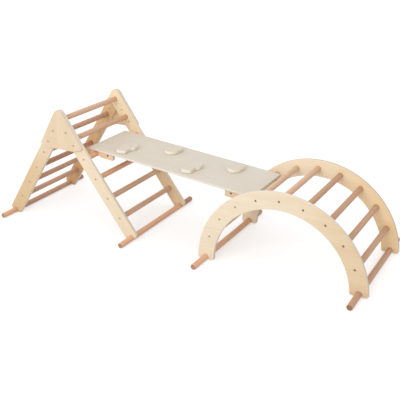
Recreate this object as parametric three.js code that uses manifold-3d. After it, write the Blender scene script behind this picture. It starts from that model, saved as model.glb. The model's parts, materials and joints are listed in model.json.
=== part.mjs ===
// Toddler climbing frame: a rung triangle, a rung arch, and a ramp with climbing holds
// that hooks over one rung of each. Millimetres, +Z up, the floor at z = 0.
// X runs from the triangle to the arch, and the side at -Y is called near, +Y far.

import * as THREE from 'three';
import { mergeVertices } from 'three/addons/utils/BufferGeometryUtils.js';
import Module from 'manifold-3d';

// Driving sizes shared by the whole set
const rungDiameter = 30;
const sheetThickness = 18;
const innerWidth = 472;
const seatGap = 0.3;
const socketDepth = 6;
const dowelEndRound = 4;
const edgeRound = 1.6;
const cutOverrun = 5;

// Driving sizes of the triangle
const ladderLeanDegrees = 55;
const ladderRungSpacing = 124;
const ladderSpaces = 6;
const legWidth = 76;
const legEndBeyondRung = 11;
const legFloorClearance = 1;
const legCornerRadius = 15;
const legHeelRadius = 18;
const triangleStubLength = 105;

// Driving sizes of the gusset plates at the top of the triangle
const gussetThickness = 12;
const gussetReach = 205;
const gussetTopRise = 55;
const gussetTopWidth = 34;
const gussetTopRadius = 28;
const gussetDrop = 164;
const gussetFootWidth = 178;
const gussetCornerRadius = 9;
const gussetFootRadius = 24;
const gussetBoltReach = 77;
const gussetBoltSpacing = 80;

// Driving sizes of the arch
const archRungRadius = 404;
const archRungSpacing = 122;
const archRungCount = 9;
const archPanelWidth = 90;
const archFloorClearance = 4;
const archCornerRadius = 9;
const archStubLength = 127;

// Driving sizes of the ramp
const hookSpacing = 928;
const ladderStepsToRamp = 2;
const archStepsToRamp = 2;
const rampWidth = 336;
const rampThickness = 12;
const rampOverhang = 42;
const rampSideShift = 9.5;
const rampCornerRadius = 9;
const rampEdgeRound = 2.4;

// Driving sizes of the hook brackets and the battens between them
const hookClearance = 0.8;
const hookBridge = 6;
const hookInset = 10;
const hookInboardReach = 116;
const hookOutboardReach = 38;
const hookBodyDrop = 14;
const hookJawDrop = 15;
const hookWallDrop = 2;
const hookFlareReach = 32;
const hookCornerRadius = 7;
const hookJawRadius = 5;
const hookBoltReach = 80;
const hookBoltDrop = 13;
const battenWidth = 32;
const battenHeight = 26;
const battenCornerRadius = 3;

// Driving sizes of the climbing holds
const longHoldLength = 144;
const longHoldWidth = 70;
const shortHoldLength = 116;
const shortHoldWidth = 73;
const holdTurnDegrees = 8;
const holdThickness = 20;
const holdEdgeRound = 4;
const holdSideOffset = 72;

// Driving sizes of the bolts
const boltHeadDiameter = 11;
const boltHeadThickness = 2.6;
const boltShankDiameter = 6;
const boltNutDiameter = 9;
const boltNutLength = 10;
const boltClearance = 0.35;
const boltTipDepth = 34;
const holdBoltDepth = 13;

// Counts of facets
const rungFacets = 24;
const socketFacets = 14;
const boltFacets = 10;
const cornerArcSteps = 3;
const outerArcSteps = 40;
const innerArcSteps = 32;
const holdSteps = 27;
const holdRoundSteps = 2;
const dowelEndSteps = 2;

// Colours and finishes
const birch = { color: 0xf0dec4, roughness: 0.5, metalness: 0 };
const rampBirch = { color: 0xdcd2c5, roughness: 0.55, metalness: 0 };
const beech = { color: 0xb7947b, roughness: 0.5, metalness: 0 };
const darkSteel = { color: 0x5a524b, roughness: 0.4, metalness: 0.9 };

// Places worked out from the driving sizes
const lean = THREE.MathUtils.degToRad(ladderLeanDegrees);
const rungRadius = rungDiameter / 2;
const frameHalfWidth = innerWidth / 2 + sheetThickness;
const panelCentre = frameHalfWidth - sheetThickness / 2;
const ladderLength = ladderSpaces * ladderRungSpacing;
const apexHeight = rungRadius + ladderLength * Math.sin(lean);
const archStep = 2 * Math.asin(archRungSpacing / (2 * archRungRadius));
const archTopIndex = (archRungCount + 1) / 2;
const archFootAngle = archTopIndex * archStep;
const archCentreHeight = rungRadius - archRungRadius * Math.cos(archFootAngle);
const ladderRest = ladderPoint(1, ladderStepsToRamp * ladderRungSpacing, 0);
const archRestTurn = archStepsToRamp * archStep;
const archRestHeight = archCentreHeight + archRungRadius * Math.cos(archRestTurn);
const rampRun = Math.sqrt(hookSpacing ** 2 - (ladderRest.y - archRestHeight) ** 2);
const archCentreX = ladderRest.x + rampRun + archRungRadius * Math.sin(archRestTurn);
const rampSlope = Math.atan2(ladderRest.y - archRestHeight, rampRun);
const notchRadius = rungRadius + hookClearance;
const boardUnderside = notchRadius + hookBridge + seatGap;
const boardTop = boardUnderside + rampThickness;

const wasm = await Module();
wasm.setup();

// A point of the triangle's side, as (x, z): along is measured down the ladder's rung
// line from the apex rung, across is square to it, outwards and up.
function ladderPoint(side, along, across) {
  const x = along * Math.cos(lean) + across * Math.sin(lean);
  const z = apexHeight - along * Math.sin(lean) + across * Math.cos(lean);
  return new THREE.Vector2(side * x, z);
}

// A point of the arch's side, as (x, z): turn is measured from the top, negative to the left.
function archPoint(turn, radius) {
  return new THREE.Vector2(
    archCentreX + radius * Math.sin(turn),
    archCentreHeight + radius * Math.cos(turn),
  );
}

// An outline whose corners are rounded: each entry is a point, with an optional radius.
function roundedOutline(entries) {
  const outline = [];
  entries.forEach(({ point, radius }, index) => {
    if (!radius) {
      outline.push(point);
      return;
    }
    const before = entries[(index + entries.length - 1) % entries.length].point;
    const after = entries[(index + 1) % entries.length].point;
    const back = before.clone().sub(point).normalize();
    const ahead = after.clone().sub(point).normalize();
    const halfAngle = Math.acos(THREE.MathUtils.clamp(back.dot(ahead), -1, 1)) / 2;
    const tangent = radius / Math.tan(halfAngle);
    const inward = back.clone().add(ahead).normalize();
    const centre = point.clone().addScaledVector(inward, radius / Math.sin(halfAngle));
    const start = point.clone().addScaledVector(back, tangent).sub(centre);
    const end = point.clone().addScaledVector(ahead, tangent).sub(centre);
    const sweep = Math.atan2(start.cross(end), start.dot(end));
    for (let step = 0; step <= cornerArcSteps; step += 1) {
      const turned = start.clone().rotateAround(new THREE.Vector2(), (sweep * step) / cornerArcSteps);
      outline.push(turned.add(centre));
    }
  });
  return outline;
}

// A flat sheet cut to an outline, its thickness centred on z = 0 and its edges eased.
function flatSheet(outline, thickness, round, roundSteps = 1) {
  const geometry = new THREE.ExtrudeGeometry(new THREE.Shape(outline), {
    depth: thickness - 2 * round,
    bevelEnabled: true,
    bevelThickness: round,
    bevelSize: round,
    bevelOffset: -round,
    bevelSegments: roundSteps,
  });
  return geometry.translate(0, 0, round - thickness / 2);
}

// The same sheet stood up, so that its outline lies in x and z and its middle at y = 0.
function standingSheet(outline, thickness, round) {
  return flatSheet(outline, thickness, round).rotateX(Math.PI / 2);
}

// A straight round bar along y, centred on y = 0.
function bar(radius, length, facets) {
  return new THREE.CylinderGeometry(radius, radius, length, facets);
}

// A closed solid from a geometry, without the flat triangles that a lathe leaves on its axis
function toSolid(geometry) {
  const bare = geometry.clone();
  bare.deleteAttribute('normal');
  bare.deleteAttribute('uv');
  const merged = mergeVertices(bare);
  const corners = Array.from(merged.index.array);
  const triVerts = corners.filter((_, index) => {
    const first = index - (index % 3);
    return new Set(corners.slice(first, first + 3)).size === 3;
  });
  return new wasm.Manifold(new wasm.Mesh({
    numProp: 3,
    vertProperties: Float32Array.from(merged.attributes.position.array),
    triVerts: Uint32Array.from(triVerts),
  }));
}

function toGeometry(solid) {
  const mesh = solid.getMesh();
  const geometry = new THREE.BufferGeometry();
  geometry.setAttribute('position', new THREE.BufferAttribute(mesh.vertProperties, mesh.numProp));
  geometry.setIndex(new THREE.BufferAttribute(mesh.triVerts, 1));
  geometry.computeVertexNormals();
  return geometry;
}

// A piece with cuts taken out of it.
function carve(geometry, cuts) {
  return toGeometry(cuts.reduce((left, cut) => left.subtract(toSolid(cut)), toSolid(geometry)));
}

function piece(name, geometry, finish, x = 0, y = 0, z = 0) {
  const mesh = new THREE.Mesh(geometry, new THREE.MeshStandardMaterial(finish));
  mesh.name = name;
  mesh.position.set(x, y, z);
  return mesh;
}

// Near and far copies of what stands on both sides: side is -1 for near and 1 for far.
const sides = [
  { name: 'near', side: -1 },
  { name: 'far', side: 1 },
];

// Blind sockets in the inner face of a panel, one for each rung end. The panel's middle
// is at y = 0, and its inner face looks towards y = 0 of the whole frame.
function rungSockets(centres, side) {
  const radius = (rungRadius + seatGap) / Math.cos(Math.PI / socketFacets);
  const length = socketDepth + cutOverrun;
  const middle = sheetThickness / 2 - socketDepth + length / 2;
  return centres.map((centre) => bar(radius, length, socketFacets)
    .translate(centre.x, -side * middle, centre.y));
}

// The notch, open downwards, that a foot dowel lies in at the bottom of a panel.
function dowelNotch(centre) {
  const radius = (rungRadius + seatGap) / Math.cos(Math.PI / rungFacets);
  const length = sheetThickness + 2 * cutOverrun;
  const depth = rungRadius + cutOverrun;
  const mouth = new THREE.BoxGeometry(2 * (rungRadius + seatGap), length, depth)
    .translate(centre.x, 0, centre.y - depth / 2);
  return [bar(radius, length, rungFacets).translate(centre.x, 0, centre.y), mouth];
}

// A rung that ends in the sockets of both panels
function rung(name, centre) {
  const length = innerWidth + 2 * (socketDepth - seatGap);
  return piece(name, bar(rungRadius, length, rungFacets), beech, centre.x, 0, centre.y);
}

// A foot dowel lies under both panels and stands out past them as a stub on each side,
// with rounded ends.
function footDowel(name, centre, stubLength) {
  const half = frameHalfWidth + stubLength;
  const profile = [new THREE.Vector2(0, -half)];
  for (let step = 0; step <= dowelEndSteps; step += 1) {
    const turn = (Math.PI / 2) * (step / dowelEndSteps);
    profile.push(new THREE.Vector2(
      rungRadius - dowelEndRound + dowelEndRound * Math.sin(turn),
      dowelEndRound - half - dowelEndRound * Math.cos(turn),
    ));
  }
  const mirrored = profile.map((point) => new THREE.Vector2(point.x, -point.y)).reverse();
  const geometry = new THREE.LatheGeometry([...profile, ...mirrored], rungFacets);
  return piece(name, geometry, beech, centre.x, 0, centre.y);
}

// A bolt turned about z, its head's flat face at z = 0 and its shank running down. With a
// nut length it also has the sleeve nut that closes it from the other side.
function boltProfile(length, nutLength, clearance, overrun) {
  const headRadius = boltHeadDiameter / 2 + clearance;
  const shankRadius = boltShankDiameter / 2 + clearance;
  const nutRadius = boltNutDiameter / 2 + clearance;
  const points = [
    [0, overrun],
    [headRadius, overrun],
    [headRadius, -boltHeadThickness - clearance],
    [shankRadius, -boltHeadThickness - clearance],
  ];
  if (nutLength > 0) {
    points.push([shankRadius, nutLength + clearance - length]);
    points.push([nutRadius, nutLength + clearance - length]);
    points.push([nutRadius, -length - overrun]);
    points.push([0, -length - overrun]);
  } else {
    points.push([shankRadius, -length - clearance]);
    points.push([0, -length - clearance]);
  }
  return points.map(([radius, height]) => new THREE.Vector2(radius, height)).reverse();
}

function bolt(length, nutLength) {
  return new THREE.LatheGeometry(boltProfile(length, nutLength, 0, 0), boltFacets)
    .rotateX(Math.PI / 2);
}

function boltHole(length, nutLength) {
  const profile = boltProfile(length, nutLength, boltClearance, cutOverrun);
  return new THREE.LatheGeometry(profile, boltFacets).rotateX(Math.PI / 2);
}

// Through bolts of the gussets: two on each leg's centre line. The head is flush with the
// gusset's outer face and the nut with the leg's inner face.
const gussetBoltLength = gussetThickness + seatGap + sheetThickness;
const gussetBoltPlaces = [-1, 1].flatMap((leg) => [0, 1].map(
  (row) => ladderPoint(leg, gussetBoltReach + row * gussetBoltSpacing, 0),
));
const gussetOuterFace = frameHalfWidth + seatGap + gussetThickness;

// A tool lying along z turned to lie along y, its head facing outwards on one side
function facingOut(geometry, side, centre, y) {
  return geometry.rotateX(side < 0 ? Math.PI / 2 : -Math.PI / 2).translate(centre.x, y, centre.y);
}

function gussetBoltHoles(side, memberCentre) {
  return gussetBoltPlaces.map((centre) => facingOut(
    boltHole(gussetBoltLength, boltNutLength),
    side,
    centre,
    side * (gussetOuterFace - memberCentre),
  ));
}

// Corners of the triangle's head on the right. Legs and gussets share them, so that their
// edges lie flush: the lower one is on the leg's outer edge.
const headCorner = ladderPoint(1, gussetReach, legWidth / 2);
const headTop = new THREE.Vector2(gussetTopWidth / 2, apexHeight + gussetTopRise);

function mirrored(point) {
  return new THREE.Vector2(-point.x, point.y);
}

// The point where the line from a to b meets the line from c to d
function meeting(a, b, c, d) {
  const first = b.clone().sub(a);
  const second = d.clone().sub(c);
  return a.clone().addScaledVector(first, c.clone().sub(a).cross(second) / first.cross(second));
}

// A line down one side of the triangle, at a distance across from the rungs
function ladderLine(side, across) {
  return [ladderPoint(side, 0, across), ladderPoint(side, ladderLength, across)];
}

// Legs of the triangle. The right leg runs to the top, where it carries the apex rung, and
// the left leg's top is mitred to butt against its inner edge.
function legFoot(leg) {
  const half = legWidth / 2;
  const end = ladderLength + legEndBeyondRung;
  const flat = apexHeight - legFloorClearance;
  const flatAcross = (end * Math.sin(lean) - flat) / Math.cos(lean);
  const flatAlong = (flat - half * Math.cos(lean)) / Math.sin(lean);
  return [
    { point: ladderPoint(leg, end, half), radius: legCornerRadius },
    { point: ladderPoint(leg, end, flatAcross), radius: legHeelRadius },
    { point: ladderPoint(leg, flatAlong, -half), radius: legHeelRadius },
  ];
}

function rightLegOutline() {
  const innerEdge = ladderLine(1, -legWidth / 2);
  return roundedOutline([
    ...legFoot(1),
    { point: meeting(...innerEdge, mirrored(headCorner), mirrored(headTop)) },
    { point: mirrored(headTop), radius: gussetTopRadius },
    { point: headTop, radius: gussetTopRadius },
    { point: headCorner },
  ]);
}

function leftLegOutline() {
  const mitre = ladderLine(1, -legWidth / 2 - seatGap);
  return roundedOutline([
    ...legFoot(-1),
    { point: meeting(...mitre, ...ladderLine(-1, -legWidth / 2)) },
    { point: meeting(...mitre, mirrored(headCorner), mirrored(headTop)) },
    { point: mirrored(headCorner) },
  ]);
}

const ladderIndices = Array.from({ length: ladderSpaces }, (_, index) => index + 1);
const legKinds = [
  { name: 'left', leg: -1, outline: leftLegOutline(), first: 1 },
  { name: 'right', leg: 1, outline: rightLegOutline(), first: 0 },
];

function legPiece({ name, leg, outline, first }, { name: sideName, side }) {
  const seats = [0, ...ladderIndices].slice(first, ladderSpaces)
    .map((index) => ladderPoint(leg, index * ladderRungSpacing, 0));
  const boltHoles = gussetBoltHoles(side, panelCentre)
    .filter((_, index) => Math.sign(gussetBoltPlaces[index].x) === leg);
  const geometry = carve(standingSheet(outline, sheetThickness, edgeRound), [
    ...rungSockets(seats, side),
    ...dowelNotch(ladderPoint(leg, ladderLength, 0)),
    ...boltHoles,
  ]);
  return piece(`leg_${name}_${sideName}`, geometry, birch, 0, side * panelCentre, 0);
}

// Gusset plates lie on the outer faces of the legs and tie them together.
function gussetOutline() {
  const rightHalf = [
    { point: new THREE.Vector2(gussetFootWidth / 2, apexHeight - gussetDrop), radius: gussetFootRadius },
    { point: headCorner, radius: gussetCornerRadius },
    { point: headTop, radius: gussetTopRadius },
  ];
  const leftHalf = rightHalf.map(({ point, radius }) => ({ point: mirrored(point), radius })).reverse();
  return roundedOutline([...rightHalf, ...leftHalf]);
}

function gussetPiece({ name, side }) {
  const middle = gussetOuterFace - gussetThickness / 2;
  const geometry = carve(
    standingSheet(gussetOutline(), gussetThickness, edgeRound),
    gussetBoltHoles(side, middle),
  );
  return piece(`gusset_${name}`, geometry, birch, 0, side * middle, 0);
}

function buildTriangle() {
  const triangle = new THREE.Group();
  sides.forEach((where) => {
    legKinds.forEach((kind) => triangle.add(legPiece(kind, where)));
    triangle.add(gussetPiece(where));
    gussetBoltPlaces.forEach((centre, index) => {
      const geometry = facingOut(bolt(gussetBoltLength, boltNutLength), where.side, centre, 0);
      const name = `gusset_bolt_${where.name}_${index + 1}`;
      triangle.add(piece(name, geometry, darkSteel, 0, where.side * gussetOuterFace, 0));
    });
  });
  triangle.add(rung('apex_rung', ladderPoint(1, 0, 0)));
  legKinds.forEach(({ name, leg }) => {
    ladderIndices.slice(0, -1).forEach((index) => {
      triangle.add(rung(`ladder_rung_${name}_${index}`, ladderPoint(leg, index * ladderRungSpacing, 0)));
    });
    const foot = ladderPoint(leg, ladderLength, 0);
    triangle.add(footDowel(`foot_dowel_${name}`, foot, triangleStubLength));
  });
  return triangle;
}

// Arch panels are half rings cut from sheet, each foot end flat just above the floor.
function archPanelOutline() {
  const outer = archRungRadius + archPanelWidth / 2;
  const inner = archRungRadius - archPanelWidth / 2;
  const rise = archFloorClearance - archCentreHeight;
  const outerEnd = Math.acos(rise / outer);
  const innerEnd = Math.acos(rise / inner);
  const along = (radius, end, steps) => Array.from({ length: steps + 1 }, (_, index) => ({
    point: archPoint(end * ((2 * index) / steps - 1), radius),
    radius: index === 0 || index === steps ? archCornerRadius : 0,
  }));
  const innerArc = along(inner, innerEnd, innerArcSteps).reverse();
  return roundedOutline([...along(outer, outerEnd, outerArcSteps), ...innerArc]);
}

function buildArch() {
  const arch = new THREE.Group();
  const outline = archPanelOutline();
  const centres = Array.from({ length: archRungCount }, (_, index) => archPoint(
    (index + 1 - archTopIndex) * archStep,
    archRungRadius,
  ));
  const feet = [
    { name: 'left', centre: archPoint(-archFootAngle, archRungRadius) },
    { name: 'right', centre: archPoint(archFootAngle, archRungRadius) },
  ];
  sides.forEach(({ name, side }) => {
    const geometry = carve(standingSheet(outline, sheetThickness, edgeRound), [
      ...rungSockets(centres, side),
      ...feet.flatMap(({ centre }) => dowelNotch(centre)),
    ]);
    arch.add(piece(`arch_panel_${name}`, geometry, birch, 0, side * panelCentre, 0));
  });
  centres.forEach((centre, index) => arch.add(rung(`arch_rung_${index + 1}`, centre)));
  feet.forEach(({ name, centre }) => {
    arch.add(footDowel(`arch_foot_dowel_${name}`, centre, archStubLength));
  });
  return arch;
}

// The ramp is built in its own frame: x along the board from the ladder rung's axis to the
// arch rung's axis, z square to the board and up.
const hookEnds = [
  { name: 'triangle', x: 0, facing: 1 },
  { name: 'arch', x: hookSpacing, facing: -1 },
];
const hookOuterFace = rampWidth / 2 - hookInset;
const hookCentre = hookOuterFace - sheetThickness / 2;
const battenLength = 2 * (hookOuterFace - sheetThickness - seatGap);
const battenTop = boardUnderside - seatGap;
const hookBoltHeight = battenTop - hookBoltDrop;
const hookBoltLength = sheetThickness + boltTipDepth;

// The hook's notch drops over a rung. Its outboard wall is straight and its inboard wall
// flares, which guides the rung in.
function hookOutline(facing) {
  const notchArc = Array.from({ length: rungFacets / 2 + 1 }, (_, index) => {
    const turn = Math.PI - (Math.PI * index) / (rungFacets / 2);
    return { x: notchRadius * Math.cos(turn), z: notchRadius * Math.sin(turn) };
  });
  const top = notchRadius + hookBridge;
  const corners = [
    { x: -hookOutboardReach, z: top, radius: hookJawRadius },
    { x: -hookOutboardReach, z: -hookJawDrop, radius: hookCornerRadius },
    { x: -notchRadius, z: -hookJawDrop, radius: hookJawRadius },
    ...notchArc,
    { x: notchRadius, z: -hookWallDrop },
    { x: hookFlareReach, z: -hookBodyDrop, radius: hookCornerRadius },
    { x: hookInboardReach, z: -hookBodyDrop, radius: hookCornerRadius },
    { x: hookInboardReach, z: top, radius: hookJawRadius },
  ];
  return roundedOutline(corners.map(({ x, z, radius }) => ({
    point: new THREE.Vector2(facing * x, z),
    radius,
  })));
}

// Climbing holds are flat pebbles with a waist on one side, bolted up through the board. The
// long ones stand on its near half and the short ones, turned round, on its far half.
const holdOutlineShares = [
  [-0.06, -0.5],
  [0.44, -0.36],
  [0.37, -0.06],
  [0.49, 0.2],
  [0.28, 0.46],
  [-0.14, 0.5],
  [-0.42, 0.3],
  [-0.5, -0.06],
  [-0.4, -0.38],
];
const holdPlaceShares = [0.161, 0.389, 0.611, 0.812];
const holdKinds = [
  { side: -1, length: longHoldLength, width: longHoldWidth },
  { side: 1, length: shortHoldLength, width: shortHoldWidth },
];

function holdGeometry({ side, length, width }) {
  const knots = holdOutlineShares.map(([across, along]) => new THREE.Vector3(
    -side * across * width,
    -side * along * length,
    0,
  ));
  const curve = new THREE.CatmullRomCurve3(knots, true, 'catmullrom');
  const outline = curve.getPoints(holdSteps).slice(1).map(({ x, y }) => new THREE.Vector2(x, y));
  return flatSheet(outline, holdThickness, holdEdgeRound, holdRoundSteps)
    .rotateZ(-THREE.MathUtils.degToRad(holdTurnDegrees));
}

function buildRamp() {
  const ramp = new THREE.Group();
  ramp.position.set(ladderRest.x, rampSideShift, ladderRest.y);
  ramp.rotation.y = rampSlope;

  const halfLength = hookSpacing / 2 + rampOverhang;
  const halfWidth = rampWidth / 2;
  const boardOutline = roundedOutline([[-1, -1], [1, -1], [1, 1], [-1, 1]].map(([u, v]) => ({
    point: new THREE.Vector2(u * halfLength, v * halfWidth),
    radius: rampCornerRadius,
  })));
  const holdPlaces = holdPlaceShares.map((share, index) => {
    const kind = holdKinds[index % holdKinds.length];
    return { x: share * hookSpacing, y: kind.side * holdSideOffset, kind };
  });
  const holdBoltLength = rampThickness + seatGap + holdBoltDepth;
  const board = carve(
    flatSheet(boardOutline, rampThickness, rampEdgeRound),
    holdPlaces.map(({ x, y }) => boltHole(holdBoltLength, 0).rotateX(Math.PI)
      .translate(x - hookSpacing / 2, y, -rampThickness / 2)),
  );
  const boardMiddle = boardUnderside + rampThickness / 2;
  ramp.add(piece('ramp_board', board, rampBirch, hookSpacing / 2, 0, boardMiddle));

  holdPlaces.forEach(({ x, y, kind }, index) => {
    const height = boardTop + seatGap + holdThickness / 2;
    const underHold = -(holdThickness / 2 + seatGap + rampThickness);
    const hole = boltHole(holdBoltLength, 0).rotateX(Math.PI).translate(0, 0, underHold);
    const hold = carve(holdGeometry(kind), [hole]);
    ramp.add(piece(`climbing_hold_${index + 1}`, hold, birch, x, y, height));
    const holdBolt = bolt(holdBoltLength, 0).rotateX(Math.PI);
    ramp.add(piece(`hold_bolt_${index + 1}`, holdBolt, darkSteel, x, y, boardUnderside));
  });

  hookEnds.forEach(({ name, x, facing }) => {
    const boltX = facing * hookBoltReach;
    const battenMiddle = battenTop - battenHeight / 2;
    const battenOutline = roundedOutline([[-1, -1], [1, -1], [1, 1], [-1, 1]].map(([u, v]) => ({
      point: new THREE.Vector2((u * battenWidth) / 2, (v * battenHeight) / 2),
      radius: battenCornerRadius,
    })));
    const battenHoles = sides.map(({ side }) => facingOut(
      boltHole(hookBoltLength, 0),
      side,
      new THREE.Vector2(0, hookBoltHeight - battenMiddle),
      side * hookOuterFace,
    ));
    const batten = carve(standingSheet(battenOutline, battenLength, edgeRound), battenHoles);
    ramp.add(piece(`ramp_batten_${name}`, batten, birch, x + boltX, 0, battenMiddle));
    sides.forEach(({ name: sideName, side }) => {
      const boltPlace = new THREE.Vector2(boltX, hookBoltHeight);
      const hole = facingOut(boltHole(hookBoltLength, 0), side, boltPlace, side * sheetThickness / 2);
      const hook = carve(standingSheet(hookOutline(facing), sheetThickness, edgeRound), [hole]);
      ramp.add(piece(`hook_${name}_${sideName}`, hook, birch, x, side * hookCentre, 0));
      const hookBolt = facingOut(bolt(hookBoltLength, 0), side, boltPlace, 0);
      const boltName = `hook_bolt_${name}_${sideName}`;
      ramp.add(piece(boltName, hookBolt, darkSteel, x, side * hookOuterFace, 0));
    });
  });
  return ramp;
}

// The set stands with its origin on the floor under the middle of its bounding box.
const climbingFrame = new THREE.Group();
climbingFrame.add(buildTriangle(), buildRamp(), buildArch());
climbingFrame.updateMatrixWorld(true);
const reach = new THREE.Box3().setFromObject(climbingFrame, true);
climbingFrame.position.x = -(reach.min.x + reach.max.x) / 2;

export default climbingFrame;
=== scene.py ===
import json
import math

import bpy
from mathutils import Matrix, Vector
from mathutils.geometry import tessellate_polygon

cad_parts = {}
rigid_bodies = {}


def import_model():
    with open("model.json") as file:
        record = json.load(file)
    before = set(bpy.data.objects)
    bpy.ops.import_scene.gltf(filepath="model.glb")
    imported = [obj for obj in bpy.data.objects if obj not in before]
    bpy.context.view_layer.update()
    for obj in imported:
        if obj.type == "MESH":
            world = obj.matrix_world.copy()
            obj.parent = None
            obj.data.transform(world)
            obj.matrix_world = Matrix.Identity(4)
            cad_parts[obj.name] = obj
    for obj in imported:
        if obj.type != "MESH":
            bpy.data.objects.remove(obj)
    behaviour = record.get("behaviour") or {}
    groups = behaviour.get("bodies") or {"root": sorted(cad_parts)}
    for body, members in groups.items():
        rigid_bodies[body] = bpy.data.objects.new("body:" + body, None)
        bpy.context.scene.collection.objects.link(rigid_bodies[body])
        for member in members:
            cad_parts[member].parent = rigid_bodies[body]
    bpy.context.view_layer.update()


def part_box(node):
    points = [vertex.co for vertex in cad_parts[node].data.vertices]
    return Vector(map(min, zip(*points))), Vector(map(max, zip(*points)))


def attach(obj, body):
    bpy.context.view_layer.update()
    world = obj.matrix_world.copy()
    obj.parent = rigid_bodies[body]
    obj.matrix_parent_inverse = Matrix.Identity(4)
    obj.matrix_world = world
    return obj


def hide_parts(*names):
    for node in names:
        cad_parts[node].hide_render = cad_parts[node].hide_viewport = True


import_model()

# Legs of the triangle: two on each side, cut from 18 mm birch plywood with eased edges. The
# right leg runs to the top and the left one is mitred against it. The inner faces have blind
# sockets for the rungs, and each foot is notched over a long dowel.
MM = 0.001
LEAN = math.radians(55)
LADDER_SPACES = 6
PANEL_THICKNESS = 18 * MM
PANEL_CENTRE = 245 * MM
EDGE_ROUND = 1.8 * MM
LEG_HALF = 38 * MM
LEG_END = 11 * MM
LEG_FLOOR_GAP = 1 * MM
LEG_CORNER = 15 * MM
LEG_HEEL = 18 * MM
HEAD_REACH = 205 * MM
HEAD_RISE = 55 * MM
HEAD_TOP_HALF = 17 * MM
HEAD_ROUND = 28 * MM
MITRE_GAP = 0.3 * MM
RUNG_SOCKET = [(15.25 * MM, 0), (15.25 * MM, 6 * MM)]
NOTCH_RADIUS = 15.4 * MM
NOTCH_CORNER = 1.2 * MM
NOTCH_STEPS = 20
SCREW_HOLE = [(6 * MM, 0), (5.7 * MM, 0.3 * MM), (5.7 * MM, 1.8 * MM)]
NUT_HOLE = [(4.8 * MM, 0), (4.8 * MM, 1.6 * MM)]
BOLT_REACHES = (77 * MM, 157 * MM)
SIDES = [("near", -1), ("far", 1)]
LEGS = [("left", -1), ("right", 1)]


def middle(node):
    low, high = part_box(node)
    return (Vector(low) + Vector(high)) / 2


APEX = middle("apex_rung")
RIGHT_FOOT = middle("foot_dowel_right")
LADDER_LENGTH = math.hypot(RIGHT_FOOT.x - APEX.x, RIGHT_FOOT.z - APEX.z)
RUNG_STEP = LADDER_LENGTH / LADDER_SPACES
RUNGS_BELOW_GUSSET = range(2, LADDER_SPACES)


class Field:
    """One output of a material's nodes, which Python's operators build on."""

    def __init__(self, tree, socket=None):
        self.tree = tree
        self.socket = socket

    def node(self, kind, settings=None, sockets=None, output=0):
        made = self.tree.nodes.new("ShaderNode" + kind)
        for name, value in (settings or {}).items():
            setattr(made, name, value)
        for name, value in (sockets or {}).items():
            if isinstance(value, Field):
                self.tree.links.new(value.socket, made.inputs[name])
            else:
                made.inputs[name].default_value = value
        return Field(self.tree, made.outputs[output] if made.outputs else None)

    def maths(self, operation, *values):
        return self.node("Math", {"operation": operation}, dict(enumerate(values)))

    def __add__(self, other):
        return self.maths("ADD", self, other)

    def __radd__(self, other):
        return self.maths("ADD", other, self)

    def __sub__(self, other):
        return self.maths("SUBTRACT", self, other)

    def __rsub__(self, other):
        return self.maths("SUBTRACT", other, self)

    def __mul__(self, other):
        return self.maths("MULTIPLY", self, other)

    def __rmul__(self, other):
        return self.maths("MULTIPLY", other, self)

    def __truediv__(self, other):
        return self.maths("DIVIDE", self, other)

    def __mod__(self, other):
        return self.maths("FLOORED_MODULO", self, other)

    def __abs__(self):
        return self.maths("ABSOLUTE", self)

    def between(self, low, high):
        return self.node("MapRange", {"interpolation_type": "SMOOTHSTEP"}, {
            "Value": self, "From Min": low, "From Max": high})

    def stretched(self, scale):
        return self.node("VectorMath", {"operation": "MULTIPLY"}, {0: self, 1: scale})

    def moved(self, other):
        return self.node("VectorMath", {"operation": "ADD"}, {0: self, 1: other})

    def along(self, axis):
        return self.node("SeparateXYZ", {}, {"Vector": self}, output=axis)

    def vector(self, x=0, y=0, z=0):
        return self.node("CombineXYZ", {}, {"X": x, "Y": y, "Z": z})

    def noise(self, scale, detail, roughness=0.5):
        return self.node("TexNoise", {}, {
            "Vector": self, "Scale": scale, "Detail": detail, "Roughness": roughness})

    def blend(self, low, high):
        return self.node("Mix", {"data_type": "RGBA"}, {0: self, 6: low, 7: high}, output=2)


def new_material(name):
    material = bpy.data.materials.new(name)
    material.use_nodes = True
    material.node_tree.nodes.clear()
    return material, Field(material.node_tree)


def finish_material(start, base, roughness, height, depth, sheen=0.28, metal=0):
    """The surface itself. Its relief is as deep as depth where height is 1."""
    normal = start.node("Bump", {}, {"Strength": 1, "Distance": depth, "Height": height})
    shader = start.node("BsdfPrincipled", {}, {
        "Base Color": base, "Roughness": roughness, "Metallic": metal,
        "Specular IOR Level": sheen, "Normal": normal})
    start.node("OutputMaterial", {}, {"Surface": shader})


PLY_STEP = 1.38 * MM
# A veneer, and the layers at an edge, each have a light and a dark colour.
VENEER_PALE = [(0.930, 0.780, 0.585, 1), (0.868, 0.705, 0.508, 1)]
VENEER_GOLD = [(0.800, 0.590, 0.355, 1), (0.735, 0.525, 0.300, 1)]
PLY_LAYERS = [(0.860, 0.785, 0.695, 1), (0.775, 0.680, 0.580, 1)]
PLY_GLUE = (0.560, 0.450, 0.350, 1)
# The dark colour for end grain at edges, which also serves as painted shade on them.
PLY_END_AND_SHADE = (0.500, 0.380, 0.260, 1)


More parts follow.
